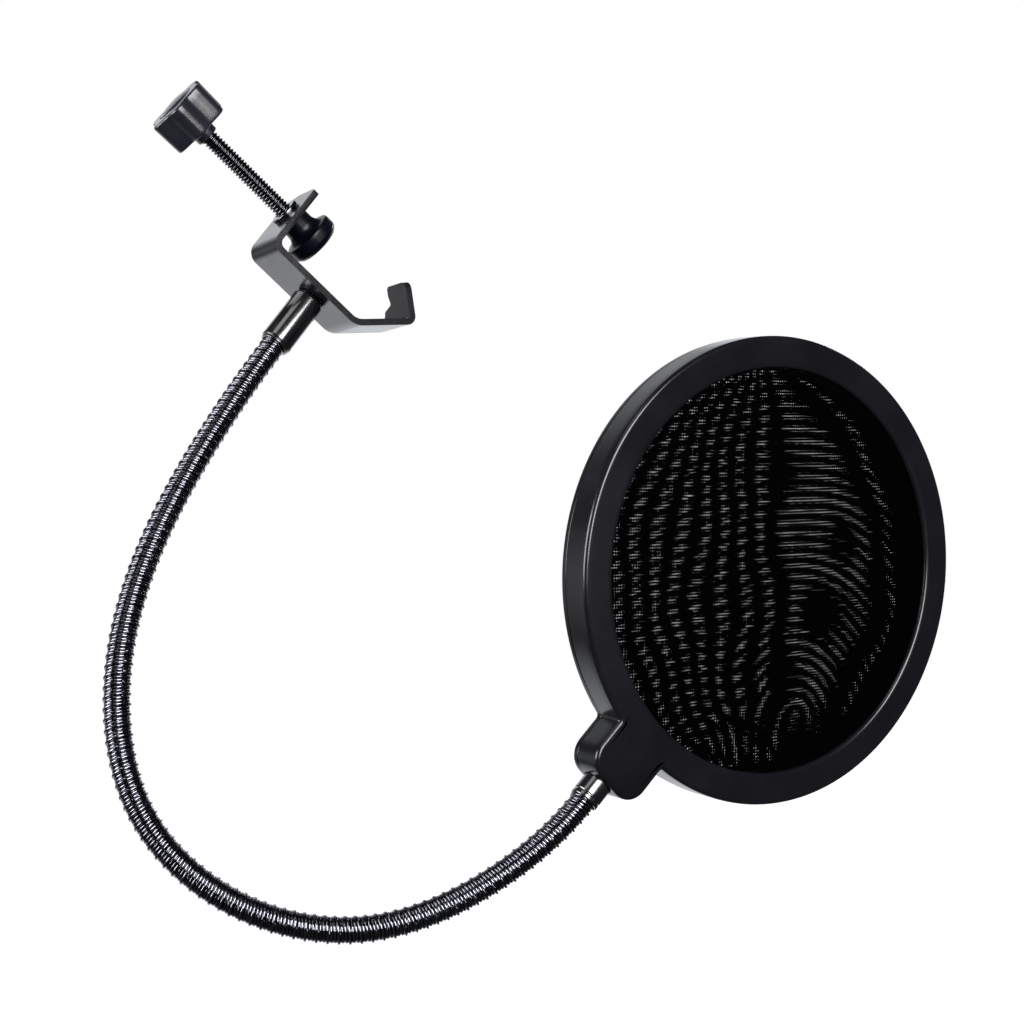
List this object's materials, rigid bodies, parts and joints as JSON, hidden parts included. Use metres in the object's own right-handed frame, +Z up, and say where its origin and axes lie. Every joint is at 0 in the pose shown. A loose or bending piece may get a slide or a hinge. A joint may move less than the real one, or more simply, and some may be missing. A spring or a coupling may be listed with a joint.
{
  "type": "pop filter",
  "caption": "Round mesh pop filter screen on a long flexible gooseneck, with a hooked screw clamp for a microphone stand tube or a desk edge.",
  "frame": {"origin": "centre of the clamp's jaw, on the axis of the clamp screw", "axes": "+Z up, the filter's front faces -Y, +X runs from the clamp towards the filter; the clamp screw's axis is tilted about 41 degrees in the XZ plane"},
  "size_m": [0.2854, 0.1238, 0.2732],
  "materials": {
    "shell_plastic": "satin black moulded plastic",
    "nylon_net": "black knitted nylon net, stretched",
    "inner_plastic": "matt black plastic, hidden inside the head",
    "gloss_black": "gloss black plated metal",
    "wound_steel": "glossy black coated steel wire, wound tight",
    "coated_strip": "satin black powder coat",
    "oxide_steel": "black oxide",
    "knob_plastic": "satin black moulded plastic",
    "pad_rubber": "smooth black rubbery plastic",
    "fastener_steel": "zinc plated"
  },
  "bodies": {
    "clamp": {"clamp_bracket": "coated_strip", "thread_bush": "oxide_steel", "base_ferrule": "gloss_black", "base_washer": "fastener_steel", "base_screw": "fastener_steel", "gooseneck_1": "wound_steel"},
    "pad": {"pressure_pad": "pad_rubber"},
    "screw": {"clamp_screw": "oxide_steel", "knob_body": "knob_plastic", "knob_cap": "knob_plastic"},
    "neck_2": {"gooseneck_2": "wound_steel"},
    "neck_3": {"gooseneck_3": "wound_steel"},
    "neck_4": {"gooseneck_4": "wound_steel"},
    "neck_5": {"gooseneck_5": "wound_steel"},
    "neck_6": {"gooseneck_6": "wound_steel"},
    "neck_7": {"gooseneck_7": "wound_steel"},
    "filter_head": {"gooseneck_8": "wound_steel", "head_ferrule": "gloss_black", "ring_front_shell": "shell_plastic", "ring_rear_shell": "shell_plastic", "tab_screw_left": "fastener_steel", "tab_screw_right": "fastener_steel", "front_net": "nylon_net", "rear_net": "nylon_net", "front_hoop": "inner_plastic", "rear_hoop": "inner_plastic", "spacer_ring": "inner_plastic"}
  },
  "joints": [
    {"name": "pad_slide", "type": "slide", "parent": "clamp", "child": "pad", "axis": [0.7529, -0.0526, -0.6561], "range_m": [0, 0.026]},
    {"name": "screw_spin", "type": "hinge", "parent": "pad", "child": "screw", "pos_m": [-0.02304, 0.00181, 0.02219], "axis": [0.7529, -0.0526, -0.6561], "range_deg": [0, 7488]},
    {"name": "neck_bend_1", "type": "hinge", "parent": "clamp", "child": "neck_2", "pos_m": [-0.05661, -0.00931, -0.05462], "axis": [-0.2828, -0.8376, 0.4674], "range_deg": [-35, 35]},
    {"name": "neck_bend_2", "type": "hinge", "parent": "neck_2", "child": "neck_3", "pos_m": [-0.08018, -0.01948, -0.08756], "axis": [-0.815, 0.4686, 0.3408], "range_deg": [-35, 35]},
    {"name": "neck_bend_3", "type": "hinge", "parent": "neck_3", "child": "neck_4", "pos_m": [-0.09652, -0.03248, -0.12361], "axis": [0.3049, 0.856, -0.4174], "range_deg": [-35, 35]},
    {"name": "neck_bend_4", "type": "hinge", "parent": "neck_4", "child": "neck_5", "pos_m": [-0.09837, -0.04852, -0.16174], "axis": [-0.9381, 0.1652, -0.3044], "range_deg": [-35, 35]},
    {"name": "neck_bend_5", "type": "hinge", "parent": "neck_5", "child": "neck_6", "pos_m": [-0.07674, -0.06558, -0.19216], "axis": [-0.2007, -0.8997, 0.3875], "range_deg": [-35, 35]},
    {"name": "neck_bend_6", "type": "hinge", "parent": "neck_6", "child": "neck_7", "pos_m": [-0.04044, -0.08115, -0.20403], "axis": [-0.158, -0.4237, -0.8919], "range_deg": [-35, 35]},
    {"name": "neck_bend_7", "type": "hinge", "parent": "neck_7", "child": "filter_head", "pos_m": [-0.00235, -0.09323, -0.19334], "axis": [0.4652, 0.8043, -0.3697], "range_deg": [-35, 35]}
  ],
  "couplings": [
    {"joint": "screw_spin", "follows": "pad_slide", "rad_per_m": 5026.5}
  ]
}
